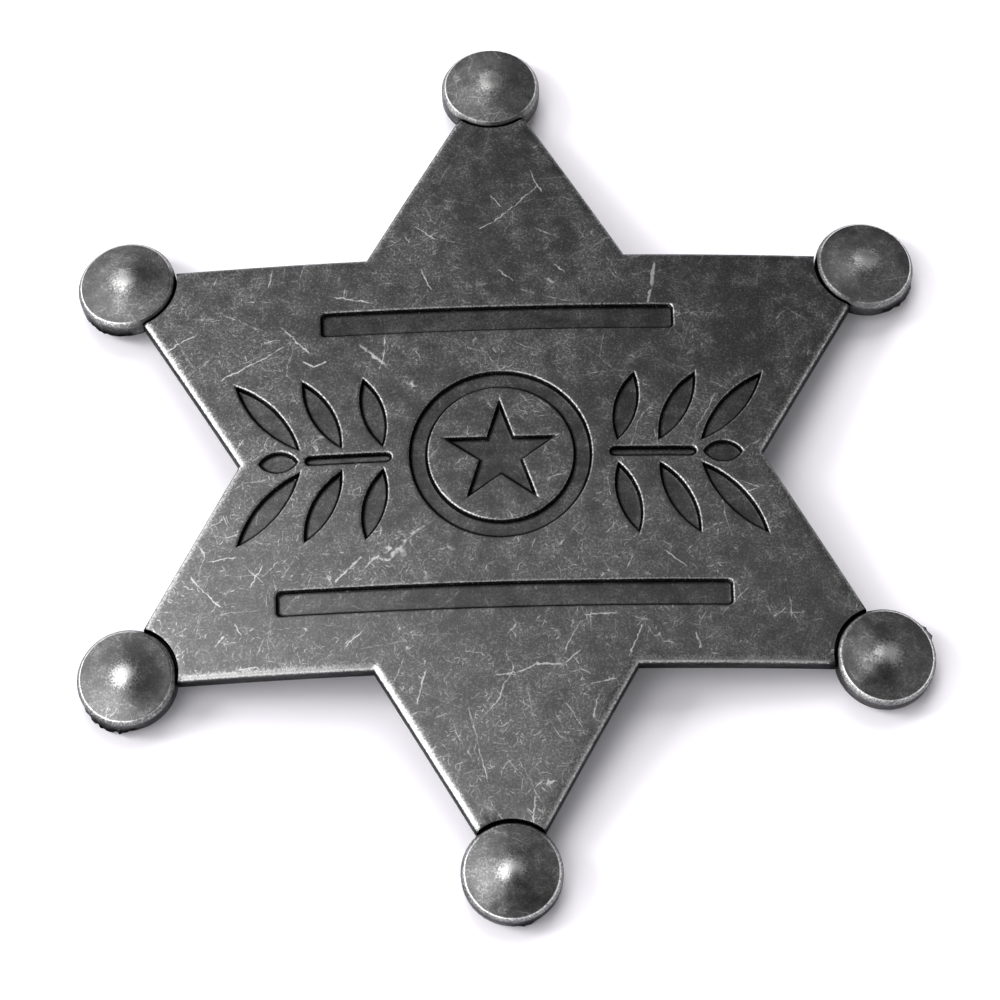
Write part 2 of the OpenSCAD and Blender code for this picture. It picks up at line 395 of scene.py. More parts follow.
def sink_sprig(bm, side):
    """A stem with pairs of leaves beside it and one at its end, along +X or -X."""
    foot = STEM_W / 2 + LEAF_GAP
    stem_l = LEAF_PITCH * (LEAF_PAIRS - 1) + STEM_W
    start = (Matrix.Rotation(0 if side > 0 else math.pi, 4, "Z")
             @ Matrix.Translation((RING_R + SPRIG_GAP, 0, 0)))
    made = [
        sink_bar(bm, stem_l, STEM_W, STEM_CORNER, start @ Matrix.Translation((stem_l / 2, 0, 0))),
        sink_leaf(bm, END_LEAF_L, start @ Matrix.Translation((stem_l + LEAF_GAP, 0, 0))),
    ]
    for pair in range(LEAF_PAIRS):
        angle = math.radians(FIRST_LEAF - (FIRST_LEAF - LAST_LEAF) * pair / (LEAF_PAIRS - 1))
        for hand in (-1, 1):
            at = (start @ Matrix.Translation((STEM_W / 2 + pair * LEAF_PITCH, 0, 0))
                  @ Matrix.Rotation(hand * angle, 4, "Z")
                  @ Matrix.Translation((foot / math.sin(angle), 0, 0)))
            made.append(sink_leaf(bm, (LEAF_REACH - foot) / math.sin(angle), at))
    return made


rims += sink_sprig(plate, 1) + sink_sprig(plate, -1)
print("sprigs:", len(plate.faces), "faces")

# %% [markdown]
# ## Face of the plate
# triangle_fill closes the flat land between the star's edge and the rims of all motifs, holes and
# all. Its long triangles can't bend, so a grid of bisect_plane cuts splits them, and then every
# vertex is lifted onto the dome. A real casting is never quite even, so a slow noise lowers the
# face by a few hundredths of a millimetre, enough to make the reflections wander. The rims that
# face the lower left get a painted highlight, so they are the brightest.

# %% Fill the land and cut it into a grid
bmesh.ops.triangle_fill(plate, edges=edge_loops[0] + [edge for rim in rims for edge in rim],
                        use_beauty=True, normal=(0, 0, 1))
GRID = 0.9
GRID_REACH = {(1, 0, 0): 33.0, (0, 1, 0): 37.0}
# A share of the pitch that keeps the cuts off the outline's own corners
GRID_SHIFT = 0.37
MERGED_BELOW = 0.004
SLIVER_BELOW = 0.002


def cut_grid(bm, pitch):
    for axis, reach in GRID_REACH.items():
        steps = int(reach / pitch)
        for step in range(-steps, steps + 1):
            at = (step + GRID_SHIFT) * pitch
            bmesh.ops.bisect_plane(bm, geom=bm.verts[:] + bm.edges[:] + bm.faces[:], dist=1e-5,
                                   plane_co=Vector(axis) * at, plane_no=axis)


def put_in_order(elements, place):
    """Sorts vertices, edges or faces by place."""
    ranks = {element: rank for rank, element in enumerate(sorted(elements, key=place))}
    elements.sort(key=lambda element: ranks[element])
    elements.index_update()


def sort_by_place(bm):
    """The cuts come out in a new order in each run, and merging depends on that order."""
    put_in_order(bm.verts, lambda vert: vert.co.to_tuple(4))
    put_in_order(bm.edges, lambda edge: sorted(vert.index for vert in edge.verts))
    put_in_order(bm.faces, lambda face: sorted(vert.index for vert in face.verts))


cut_grid(plate, GRID)
sort_by_place(plate)
bmesh.ops.remove_doubles(plate, verts=plate.verts, dist=MERGED_BELOW)
bmesh.ops.dissolve_degenerate(plate, edges=plate.edges, dist=SLIVER_BELOW)
print("cut land:", len(plate.faces), "faces")

# %% Lift the plate onto the dome
# Each wave of the cast face: its height, its length, its own cut through the noise
WAVES = ((0.035, 7.0, 3.1), (0.008, 1.6, 8.7))


def unevenness(x, y):
    """How far the cast face lies below a true dome, never above it."""
    return sum(height * (1 + noise.noise(Vector((x / length, y / length, cut)))) / 2
               for height, length, cut in WAVES)


def lift_onto_dome(bm, verts):
    for vert in verts:
        x, y, depth = vert.co
        height = math.sqrt(DOME_R ** 2 - x ** 2 - y ** 2)
        sunk = unevenness(x, y) * max(0.0, 1 + depth / PLATE_T)
        vert.co.z = DOME_Z + height + depth * DOME_R / height - sunk


# %% Black grooves with painted shade, and rims with a painted highlight
GROOVE_BAND, GROOVE_SHINE = 0.12, 0.5
BLACK_BELOW = -0.08
# Share of a rim's wear that stays, and the painted highlight that is added where it faces the lit lower
# left
LIT_SIDE = Vector((-0.5, -0.87))
RIM_WEAR_KEPT, RIM_HIGHLIGHT_GAIN = 0.62, 0.42
TOP_ARM_Y, TOP_ARM_SHARE = 16.0, 0.7
# What counts as a rim, as a slope and as a faint black
RIM_WEAR, SLOPE, FAINT_BLACK = 0.2, 0.05, 0.4
# On the lower arms the black is lightened as a painted sheen over a band at the lower left, where X + Y is
# low
LOWER_ARMS_Y, LOWER_LEFT_SHEEN_AT, LOWER_LEFT_SHEEN_BAND, LOWER_LEFT_SHEEN_SHARE = -9.0, -18.0, 10.0, 0.6


def darken_grooves(bm):
    """Paints the plate's ends black inside the button grooves, as antiquing black and painted shade in the
    gap, before the plate is lifted.
    """
    wear_and_highlight_layer, patina_and_shade_layer = bright_and_black_layers(bm)
    for angle in POINTS.values():
        tip = Matrix.Rotation(math.radians(angle), 4, "Z") @ Vector((BUTTON_CENTRE, 0, 0))
        for vert in bm.verts:
            away = (vert.co.xy - tip.xy).length - BUTTON_R - GROOVE_SHOWN
            if away < GROOVE_BAND:
                vert[wear_and_highlight_layer] *= GROOVE_SHINE
                if vert.co.z < BLACK_BELOW:
                    vert[patina_and_shade_layer] = 1.0


def highlight_lower_left_rims(bm):
    """Rims facing the lower left get a painted highlight, the top arm's rims a painted shade, and the
    lower arms a painted sheen at the lower left.
    """
    wear_and_highlight_layer, patina_and_shade_layer = bright_and_black_layers(bm)
    bm.normal_update()
    for vert in bm.verts:
        flat = vert.normal.xy
        if vert[wear_and_highlight_layer] > RIM_WEAR and flat.length > SLOPE:
            vert[wear_and_highlight_layer] *= RIM_WEAR_KEPT + RIM_HIGHLIGHT_GAIN * flat.normalized().dot(LIT_SIDE)
            if vert.co.y > TOP_ARM_Y:
                vert[wear_and_highlight_layer] *= TOP_ARM_SHARE
        if vert.co.y < LOWER_ARMS_Y and vert[patina_and_shade_layer] < FAINT_BLACK:
            past = clamp((LOWER_LEFT_SHEEN_AT - vert.co.x - vert.co.y) / LOWER_LEFT_SHEEN_BAND)
            vert[patina_and_shade_layer] *= 1 - LOWER_LEFT_SHEEN_SHARE * past


darken_grooves(plate)
lift_onto_dome(plate, plate.verts)
bmesh.ops.recalc_face_normals(plate, faces=plate.faces)
highlight_lower_left_rims(plate)
report("plate", plate)

# %% [markdown]
# ## Seats for the buttons
# Each point of the casting ends in a thin neck and a round seat that reaches into the button, where
# the solder holds it. From the front it only shows as the black bottom of the groove; from behind
# it is a disc inside the button's ring. It is one flat outline, extruded and bevelled.

# %% Necks and seats
NECK_ROOT = 0.5
SEAT_EDGE = 0.08
SEAT_STEPS = 40


def on_dome(angle, distance):
    """Upright on the dome's face, at a distance from the middle and an angle from +X."""
    return (Matrix.Rotation(math.radians(angle), 4, "Z") @ Matrix.Translation((0, 0, DOME_Z))
            @ Matrix.Rotation(math.asin(distance / DOME_R), 4, "Y")
            @ Matrix.Translation((0, 0, DOME_R)))


def neck_and_seat():
    """One neck and seat in its own place, with its round end at the origin."""
    bm = new_shape()
    neck_l = BUTTON_R + GROOVE_W + NECK_ROOT
    half_turn = math.asin(NECK_W / 2 / SEAT_R)
    seam_x = -SEAT_R * math.cos(half_turn)
    verts = spin_arc(bm, (seam_x, -NECK_W / 2, -PLATE_T), (0, 0, -PLATE_T),
                     360 - 2 * math.degrees(half_turn), SEAT_STEPS)
    verts += [bm.verts.new((-neck_l, side * NECK_W / 2, -PLATE_T)) for side in (1, -1)]
    face = bm.faces.new(verts)
    made = bmesh.ops.extrude_face_region(bm, geom=[face])["geom"]
    top = [part for part in made if isinstance(part, bmesh.types.BMVert)]
    bmesh.ops.translate(bm, vec=(0, 0, SEAT_T), verts=top)
    rim = [part for part in made if isinstance(part, bmesh.types.BMEdge)]
    bmesh.ops.bevel(bm, geom=rim, offset=SEAT_EDGE, segments=2, profile=0.5, affect="EDGES",
                    material=-1)
    bmesh.ops.recalc_face_normals(bm, faces=bm.faces)
    mark(bm, bm.verts, 0.0, 1.0)
    return bm


seat = neck_and_seat()
report("seat", seat)

# %% [markdown]
# ## From a bmesh to a piece
# A finished bmesh is scaled to metres, written to a mesh and made into an object at the origin. It
# rides on the badge's one body and takes the place of its CAD node.

# %% Make a piece
def join_bmesh(bm, other):
    """Adds a second bmesh to the first."""
    loose = finished_mesh(other, "loose")
    bm.from_mesh(loose)
    bpy.data.meshes.remove(loose)


def make_piece(bm, name, node, sharp_angle):
    bmesh.ops.scale(bm, vec=(MM, MM, MM), verts=bm.verts)
    for face in bm.faces:
        face.smooth = True
    mesh = finished_mesh(bm, name)
    mesh.set_sharp_from_angle(angle=math.radians(sharp_angle))
    piece = add_object(name, mesh)
    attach(piece, "root")
    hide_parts(node)
    print(name, len(mesh.polygons), "faces")
    return piece


for angle in POINTS.values():
    placed = seat.copy()
    bmesh.ops.transform(placed, matrix=on_dome(angle, BUTTON_CENTRE), verts=placed.verts)
    join_bmesh(plate, placed)
seat.free()
star_plate = make_piece(plate, "cast_star_plate", "star_plate", 50)

# %% [markdown]
# ## Tip buttons
# A button is a turned shape: a bell-shaped crown, a bright bevelled rim, a short side, and a pocket
# underneath. Half a section is drawn as a chain of vertices and spun once round the axis. The six
# real ones differ a little, so each copy gets its own small dents and, low on the rims of all but the
# top one, the ragged flash that the casting left there.

# %% Section of a button
RIM_W = 0.36
FACE_R = BUTTON_R - RIM_W
POCKET_R = SEAT_R + JOINT_GAP
POCKET_Z = -PLATE_T + SEAT_T + JOINT_GAP
CROWN_STEPS, SPIN_STEPS = 36, 96
CONE_SLOPE = 0.31
TIP_R, TIP_POWER = 0.82, 1.4
# From this radius on the cone flattens into the rim, by this share
BELL_FROM, BELL_RUN, BELL_SHARE = 1.8, 1.8, 0.45
FACE_EDGE_Z = 0.02
TIP_WEAR, TIP_WEAR_R = 1.2, 1.05


def crown_rings():
    """The crown from the face's edge to its top: a cone with a small round tip and a flat rim."""
    step = FACE_R / CROWN_STEPS
    z, rings = FACE_EDGE_Z, []
    for index in range(CROWN_STEPS, -1, -1):
        r = index * step
        rings.append((r, z))
        outward = clamp((r - BELL_FROM) / BELL_RUN)
        flatten = 1 - BELL_SHARE * outward ** 2 * (3 - 2 * outward)
        z += step * CONE_SLOPE * math.tanh((r / TIP_R) ** TIP_POWER) * flatten
    return rings[::-1]


def button_section():
    """Half a section, from the crown's top to the pocket's middle: radius, height, worn, black."""
    rings = [(r, z, TIP_WEAR * math.exp(-(r / TIP_WEAR_R) ** 2), 0.0) for r, z in crown_rings()]
    edge = rings[-1][1]
    return rings + [
        (FACE_R + 0.02, edge - 0.004, 0.70, 0.0),
        (FACE_R + 0.08, edge - 0.038, 0.90, 0.0),
        (FACE_R + 0.12, edge - 0.085, 0.45, 0.15),
        (FACE_R + 0.21, edge - 0.20, 0.20, 0.25),
        (FACE_R + 0.31, edge - 0.33, 0.15, 0.35),
        # From here the rim's foot, the side and the pocket hold black that is partly antiquing film and
        # partly painted shade
        (BUTTON_R - 0.005, edge - 0.44, 0.05, 0.6),
        (BUTTON_R, edge - 0.62, 0.05, 0.65),
        (BUTTON_R - 0.01, -1.15, 0.05, 0.65),
        (BUTTON_R - 0.02, -1.52, 0.05, 0.85),
        (BUTTON_R - 0.07, -1.64, 0.1, 0.8),
        (BUTTON_R - 0.16, -BUTTON_H, 0.1, 0.8),
        (POCKET_R + 0.08, -BUTTON_H, 0.1, 0.8),
        (POCKET_R, -BUTTON_H + 0.08, 0.0, 1.0),
        (POCKET_R, POCKET_Z, 0.0, 1.0),
        (0.0, POCKET_Z, 0.0, 1.0),
    ]


# %% Spin it and cut the slot for the neck
PAST_RIM = 1.0


def spun_button():
    bm = new_shape()
    wear_and_highlight_layer, patina_and_shade_layer = bright_and_black_layers(bm)
    chain = []
    for r, z, wear_and_highlight, patina_and_shade in button_section():
        vert = bm.verts.new((r, 0, z))
        vert[wear_and_highlight_layer], vert[patina_and_shade_layer] = wear_and_highlight, patina_and_shade
        chain.append(vert)
    edges = [bm.edges.new(pair) for pair in zip(chain, chain[1:])]
    bmesh.ops.spin(bm, geom=chain + edges, cent=(0, 0, 0), axis=(0, 0, 1), angle=math.tau,
                   steps=SPIN_STEPS, use_merge=True)
    bmesh.ops.remove_doubles(bm, verts=bm.verts, dist=1e-4)
    bmesh.ops.recalc_face_normals(bm, faces=bm.faces)
    return bm


def with_neck_slot(bm):
    """Cuts a slot through the ring, where the neck of the plate comes in."""
    body = bpy.data.meshes.new("button_body")
    bm.to_mesh(body)
    cutter = bmesh.new()
    bmesh.ops.create_cube(cutter, size=1)
    length, height = BUTTON_R + PAST_RIM, 2.0
    bmesh.ops.scale(cutter, vec=(length, NECK_W + 2 * JOINT_GAP, height), verts=cutter.verts)
    bmesh.ops.translate(cutter, vec=(-length / 2, 0, POCKET_Z - height / 2), verts=cutter.verts)
    slot = finished_mesh(cutter, "button_slot")
    solid, tool = (add_object(mesh.name, mesh) for mesh in (body, slot))
    cut = solid.modifiers.new("slot", "BOOLEAN")
    cut.operation, cut.solver, cut.object = "DIFFERENCE", "EXACT", tool
    bpy.context.view_layer.update()
    result = solid.evaluated_get(bpy.context.evaluated_depsgraph_get()).to_mesh()
    bm.clear()
    bm.from_mesh(result)
    for thing in (solid, tool):
        mesh = thing.data
        bpy.data.objects.remove(thing)
        bpy.data.meshes.remove(mesh)
    return bm


plain_button = with_neck_slot(spun_button())
report("button", plain_button)

# %% Six buttons in their places
# Cast flash: its direction and half its width in degrees, how far it sticks out, how high it reaches
FLASH = {"lower_left": (-118, 36, 0.34, -0.9), "upper_left": (-125, 40, 0.14, -0.9),
         "bottom": (-75, 18, 0.20, -0.9), "upper_right": (-38, 30, 0.24, -0.9),
         "lower_right": (33, 11, 0.42, -0.4)}
# It starts above the foot and just inside the rim, and its teeth are a few degrees apart
FLASH_FOOT, FLASH_IN = -1.6, 0.1
FLASH_EVEN, FLASH_TOOTH = 0.6, 2.5

# The two buttons whose bevelled rims are given less wear, so that they stay darker
CHAMFER_WEAR = {"top": 0.5, "upper_right": 0.55}
CHAMFER_IN, CHAMFER_LOW, CHAMFER_HIGH = 0.1, -0.6, -0.05

# The rim in the groove keeps a low bevel and its film, because tumbling doesn't reach it, and is painted
# black as shade where it sinks into the gap
GROOVE_SIDE, GROOVE_FADE, GROOVE_RIM_IN, GROOVE_RIM_LOW = 0.66, 0.1, 0.02, -0.5
GROOVE_SHINE_LEFT, GROOVE_SHINE_DROP, GROOVE_BLACK_DEPTH = 0.3, 3.0, 0.4
GROOVE_LIFT, LIFTED_DEPTH = 0.6, 0.14

# Depth and length of the dents, and how far from the pocket they start
DENT, DENT_L, UNDENTED = 0.014, 1.1, 0.01


def roughen_button(bm, name, seed):
    """Small dents all over, a plain rim in the groove with painted shade, and cast flash low on the rim.
    """
    where, spread, reach, top = FLASH.get(name, (0, 0, 0, 0))
    wear_and_highlight_layer, patina_and_shade_layer = bright_and_black_layers(bm)
    for vert in bm.verts:
        x, y, z = vert.co
        r = math.hypot(x, y)
        in_groove = clamp((-x / max(r, 1e-6) - GROOVE_SIDE) / GROOVE_FADE)
        if in_groove and r > FACE_R + GROOVE_RIM_IN and z > GROOVE_RIM_LOW:
            vert[wear_and_highlight_layer] *= 1 - in_groove * clamp(GROOVE_SHINE_LEFT - GROOVE_SHINE_DROP * z)
            vert[patina_and_shade_layer] = max(vert[patina_and_shade_layer], in_groove * min(1.0, -z / GROOVE_BLACK_DEPTH))
            vert.co.z += GROOVE_LIFT * in_groove * min(-z, LIFTED_DEPTH)
        if r > FACE_R + CHAMFER_IN and CHAMFER_LOW < z < CHAMFER_HIGH:
            vert[wear_and_highlight_layer] *= CHAMFER_WEAR.get(name, 1.0)
        if r > POCKET_R + UNDENTED or z > POCKET_Z + UNDENTED:
            vert.co.z -= DENT * (1 + noise.noise(Vector((x / DENT_L, y / DENT_L, seed))))
        facing = math.degrees(math.atan2(y, x)) + POINTS[name] - where
        facing = (facing + 180) % 360 - 180
        if spread and abs(facing) < spread and FLASH_FOOT < z < top and r > BUTTON_R - FLASH_IN:
            ragged = FLASH_EVEN + noise.noise(Vector((facing / FLASH_TOOTH, seed, z)))
            grow = max(0.0, reach * ragged * math.cos(math.pi / 2 * facing / spread))
            vert.co.x += grow * x / r
            vert.co.y += grow * y / r
            vert[patina_and_shade_layer] = 1.0


# Each button has its own cut through the noise
FIRST_CUT, CUT_STEP = 10.0, 7.3
buttons = []
for count, (name, angle) in enumerate(POINTS.items()):
    one = plain_button.copy()
    roughen_button(one, name, FIRST_CUT + CUT_STEP * count)
    bmesh.ops.transform(one, matrix=on_dome(angle, BUTTON_CENTRE), verts=one.verts)
    buttons.append(make_piece(one, f"crowned_button_{name}", f"tip_button_{name}", 40))
plain_button.free()

# %% [markdown]
# ## Shader groups
# Wear on tumbled metal is the same few things everywhere: straight hairline scratches in every
# direction, longer wandering ones, and clouds of patina. Each is a shader group, so that the plate
# and the buttons can use it with their own values.

# %% Helpers for node trees
def add_node(tree, kind, **settings):
    made = tree.nodes.new(kind)
    for name, value in settings.items():
        setattr(made, name, value)
    return made


def plug(tree, value, socket):
    """Links a socket, or sets a plain value."""
    if isinstance(value, bpy.types.NodeSocket):
        tree.links.new(value, socket)
    else:
        socket.default_value = value


def plug_all(tree, values, sockets):
    for value, socket in zip(values, sockets):
        plug(tree, value, socket)


def plug_named(tree, node, **values):
    for label, value in values.items():
        plug(tree, value, node.inputs[label])


def maths(tree, operation, *values):
    made = add_node(tree, "ShaderNodeMath", operation=operation)
    plug_all(tree, values, made.inputs)
    return made.outputs[0]


def multiply(tree, first, *others):
    """The product of all values."""
    for other in others:
        first = maths(tree, "MULTIPLY", first, other)
    return first


def ramp(tree, value, low, high, to_low=0.0, to_high=1.0):
    """A smooth step from one value to another."""
    made = add_node(tree, "ShaderNodeMapRange", interpolation_type="SMOOTHSTEP")
    plug_all(tree, (value, low, high, to_low, to_high), made.inputs[:5])
    return made.outputs[0]


# %% Helpers for places and colours
def vector_maths(tree, operation, *values):
    made = add_node(tree, "ShaderNodeVectorMath", operation=operation)
    plug_all(tree, values, made.inputs)
    return made.outputs["Value" if operation == "DOT_PRODUCT" else "Vector"]


def split(tree, vector):
    """X, Y and Z of a vector."""
    made = add_node(tree, "ShaderNodeSeparateXYZ")
    plug(tree, vector, made.inputs[0])
    return made.outputs


def seen_from(tree, vector, middle, turn):
    """X, Y and Z of a place, seen from a middle and turned about Z."""
    turned = add_node(tree, "ShaderNodeVectorRotate", rotation_type="Z_AXIS")
    plug_named(tree, turned, Vector=vector_maths(tree, "SUBTRACT", vector, middle), Angle=turn)
    return split(tree, turned.outputs[0])


def noise_cloud(tree, vector, scale, detail, roughness=0.5):
    """A noise texture. Gives its value and its colour."""
    made = add_node(tree, "ShaderNodeTexNoise", noise_dimensions="3D")
    plug_named(tree, made, Vector=vector, Scale=scale, Detail=detail, Roughness=roughness)
    return made.outputs[0], made.outputs[1]


def blend_colour(tree, factor, one, two):
    """Mixes two colours. Sockets 6, 7 and 2 are the mix node's own for colours."""
    made = add_node(tree, "ShaderNodeMix", data_type="RGBA")
    plug(tree, factor, made.inputs[0])
    plug(tree, one, made.inputs[6])
    plug(tree, two, made.inputs[7])
    return made.outputs[2]


# %% Helpers for groups
def new_group(name, output, **inputs):
    """A group that takes a vector and named numbers. Gives the tree, its inputs and its output."""
    tree = bpy.data.node_groups.new(name, "ShaderNodeTree")
    for label, value in inputs.items():
        kind = "Float" if isinstance(value, float) else "Vector"
        socket = tree.interface.new_socket(label, in_out="INPUT", socket_type=f"NodeSocket{kind}")
        if kind == "Float":
            socket.default_value = value
    tree.interface.new_socket(output, in_out="OUTPUT", socket_type="NodeSocketFloat")
    source = add_node(tree, "NodeGroupInput")
    return tree, source.outputs, add_node(tree, "NodeGroupOutput").inputs[0]


def use_group(tree, group, **values):
    """Puts a group into a tree and gives its one output."""
    made = add_node(tree, "ShaderNodeGroup", node_tree=group)
    plug_named(tree, made, **values)
    return made.outputs[0]


# %% Straight hairline scratches
# Each cell of a Voronoi pattern holds one short line through its middle, at its own angle. Its core
# is fully bright, its ends fade out, and some lines are fainter than others.
HAIRLINE_CORE, HAIRLINE_ENDS, FAINTEST = 0.4, (0.25, 0.5, 1.0, 0.0), 0.25


def make_scratch_group():
    tree, given, out = new_group("hairline_scratches", "Mask", Vector=None, Scale=500.0, Width=0.00003,
                                 Length=0.001, Density=0.5, Bend=0.1)
    cells = add_node(tree, "ShaderNodeTexVoronoi", voronoi_dimensions="2D")
    plug_named(tree, cells, Vector=given["Vector"], Scale=given["Scale"])
    chances = add_node(tree, "ShaderNodeSeparateColor")
    plug(tree, cells.outputs["Color"], chances.inputs[0])
    turn, chance, bend = chances.outputs
    x, y, _ = seen_from(tree, given["Vector"], cells.outputs["Position"], multiply(tree, turn, math.tau))
    along = maths(tree, "DIVIDE", x, given["Length"])
    bent = multiply(tree, maths(tree, "SUBTRACT", bend, 0.5), given["Bend"], given["Length"])
    across = maths(tree, "ABSOLUTE", maths(tree, "ADD", y, multiply(tree, along, along, bent)))
    thin = ramp(tree, across, multiply(tree, given["Width"], HAIRLINE_CORE), given["Width"], 1.0, 0.0)
    short = ramp(tree, maths(tree, "ABSOLUTE", along), *HAIRLINE_ENDS)
    there = maths(tree, "LESS_THAN", chance, given["Density"])
    faint = maths(tree, "MULTIPLY_ADD", maths(tree, "POWER", bend, 2.0), 1.0 - FAINTEST, FAINTEST)
    plug(tree, multiply(tree, thin, short, there, faint), out)
    return tree


scratch_group = make_scratch_group()


# %% Wandering scratches
# The line along which a rough noise passes one half wanders like a scratch made by tumbling
PATH = {"detail": 3.0, "roughness": 0.45}
PATCH_SCALE, PATCH_FADE = 2.3, 0.15


def make_wandering_group():
    tree, given, out = new_group("wandering_scratches", "Mask", Vector=None, Scale=100.0, Width=0.01,
                                 Cover=0.5)
    path, _ = noise_cloud(tree, given["Vector"], given["Scale"], **PATH)
    patch, _ = noise_cloud(tree, given["Vector"], multiply(tree, given["Scale"], PATCH_SCALE), detail=1.0)
    away = maths(tree, "ABSOLUTE", maths(tree, "SUBTRACT", path, 0.5))
    line = ramp(tree, away, 0.0, given["Width"], 1.0, 0.0)
    limit = maths(tree, "SUBTRACT", 1.0, given["Cover"])
    part = ramp(tree, patch, limit, maths(tree, "ADD", limit, PATCH_FADE))
    plug(tree, multiply(tree, line, part), out)
    return tree


wandering_group = make_wandering_group()


# %% Clouds of patina
# Coarse and fine clouds: share of the scale, detail, weight
CLOUDS = ((1.0, 2.0, 0.38), (4.3, 5.0, 0.62))
CLOUD_ROUGHNESS = 0.6


def make_cloud_group():
    tree, given, out = new_group("patina_clouds", "Value", Vector=None, Scale=150.0, Contrast=0.25)
    total = 0.0
    for factor, detail, weight in CLOUDS:
        scale = multiply(tree, given["Scale"], factor)
        cloud, _ = noise_cloud(tree, given["Vector"], scale, detail, CLOUD_ROUGHNESS)
        total = maths(tree, "MULTIPLY_ADD", cloud, weight, total)
    low = maths(tree, "SUBTRACT", 0.5, given["Contrast"])
    high = maths(tree, "ADD", 0.5, given["Contrast"])
    plug(tree, ramp(tree, total, low, high), out)
    return tree


cloud_group = make_cloud_group()


# %% One long scratch
# It lies between two given points, thin along its length and faded at its ends
STROKE_CORE, STROKE_ENDS = 0.5, (0.75, 1.1, 1.0, 0.0)


def make_stroke_group():
    tree, given, out = new_group("long_scratch", "Mask", Vector=None, Middle=None, Turn=0.0, Reach=0.001,
                                 Width=0.00005)
    x, y, _ = seen_from(tree, given["Vector"], given["Middle"], given["Turn"])
    along = maths(tree, "DIVIDE", maths(tree, "ABSOLUTE", x), given["Reach"])
    short = ramp(tree, along, *STROKE_ENDS)
    core = multiply(tree, given["Width"], STROKE_CORE)
    thin = ramp(tree, maths(tree, "ABSOLUTE", y), core, given["Width"], 1.0, 0.0)
    plug(tree, multiply(tree, short, thin), out)
    return tree


stroke_group = make_stroke_group()
print("shader groups:", [group.name for group in bpy.data.node_groups])

# %% [markdown]
# ## Antiqued metal
# Antiquing leaves a dark film on the whole casting. Tumbling then rubs it off again: a little
# everywhere, more on rims and edges, and not at all in the recesses. So the colour goes from film to
# bare metal by a mask of vertex wear with painted highlights, specks and scratches, and bare metal
# is also glossier. The plate's upper arms get a painted shade and fewer scratches, and its lower left
# corner a painted sheen and more scratches.

# %% Scratches of the antiqued metal
HAIRLINES = [
    # cells per metre, width, length, density, bend, strength
    (160.0, 0.000056, 0.0110, 0.35, 0.30, 2.1),
    (320.0, 0.000056, 0.0055, 0.42, 0.50, 2.1),
    (650.0, 0.000050, 0.0030, 0.40, 0.70, 1.8),
    (1300.0, 0.000044, 0.0015, 0.32, 0.9, 1.3),
    (3000.0, 0.000040, 0.0006, 0.40, 1.0, 1.4),
]
WANDERING = [
    # scale, width, cover, strength
    (75.0, 0.0036, 0.48, 2.2),
    (230.0, 0.0062, 0.46, 2.0),
    (700.0, 0.0130, 0.44, 1.6),
]
# The longest scratches, where the photograph shows them: points in millimetres, half the width
LONG_SCRATCHES = [
    ([(13.1, 17.2), (12.7, 14.9), (12.3, 13.4)], 0.14),
    ([(-0.8, 20.7), (0.3, 21.2), (4.0, 24.6)], 0.06),
    ([(3.4, 26.0), (4.3, 23.9)], 0.06),
    ([(0.1, 23.8), (1.0, 22.6)], 0.06),
    ([(-5.9, 21.0), (-4.3, 19.7)], 0.06),
    ([(-5.6, 17.1), (-4.7, 15.1)], 0.06),
    ([(4.5, 15.8), (5.0, 15.4)], 0.15),
    ([(0.6, 16.7), (1.8, 15.7)], 0.06),
    ([(5.0, 17.2), (5.9, 16.4)], 0.07),
    ([(-12.4, 14.8), (-9.6, 14.2)], 0.06),
    ([(-16.8, 12.4), (-14.4, 9.7)], 0.07),
    ([(-10.5, 10.4), (-8.4, 8.3)], 0.14),
    ([(-15.0, 9.1), (-14.1, 8.6), (-13.1, 9.0)], 0.08),
    ([(-21.6, 7.9), (-19.5, 8.9), (-16.4, 10.6)], 0.06),
    ([(-26.0, 10.8), (-23.4, 12.3)], 0.06),
    ([(-22.7, -7.7), (-20.4, -7.5)], 0.06),
    ([(-24.0, -8.9), (-23.3, -9.8), (-21.6, -11.6)], 0.07),
    ([(-18.3, -8.3), (-19.4, -10.1)], 0.06),
    ([(-12.7, -10.0), (-11.7, -9.0), (-10.6, -8.0)], 0.09),
    ([(-20.6, -12.9), (-20.1, -14.0)], 0.07),
    ([(-22.3, -14.8), (-21.4, -14.0)], 0.07),
    ([(-20.5, -16.8), (-18.9, -16.7), (-18.0, -17.6)], 0.06),
    ([(-12.0, -15.4), (-10.6, -14.1)], 0.06),
    ([(-0.5, -18.1), (1.2, -18.1), (2.7, -17.4)], 0.06),
    ([(2.7, -17.4), (4.9, -17.4)], 0.09),
    ([(4.9, -17.4), (6.2, -16.3)], 0.06),
    ([(11.1, -14.1), (9.9, -16.9)], 0.06),
    ([(-5.8, -17.5), (-6.6, -20.4)], 0.09),
    ([(-5.4, -21.5), (-4.0, -21.0)], 0.06),
    ([(6.6, -19.2), (8.9, -18.6)], 0.06),
    ([(2.4, -27.9), (2.1, -30.1)], 0.07),
    ([(15.1, -14.9), (15.5, -16.2)], 0.11),
    ([(21.2, -13.7), (22.2, -12.8)], 0.06),
    ([(17.8, -3.8), (20.4, -2.9)], 0.06),
    ([(13.0, -8.1), (14.7, -9.5)], 0.06),
    ([(6.4, -13.4), (9.1, -13.3)], 0.07),
]
HAND_STRENGTH = 2.2


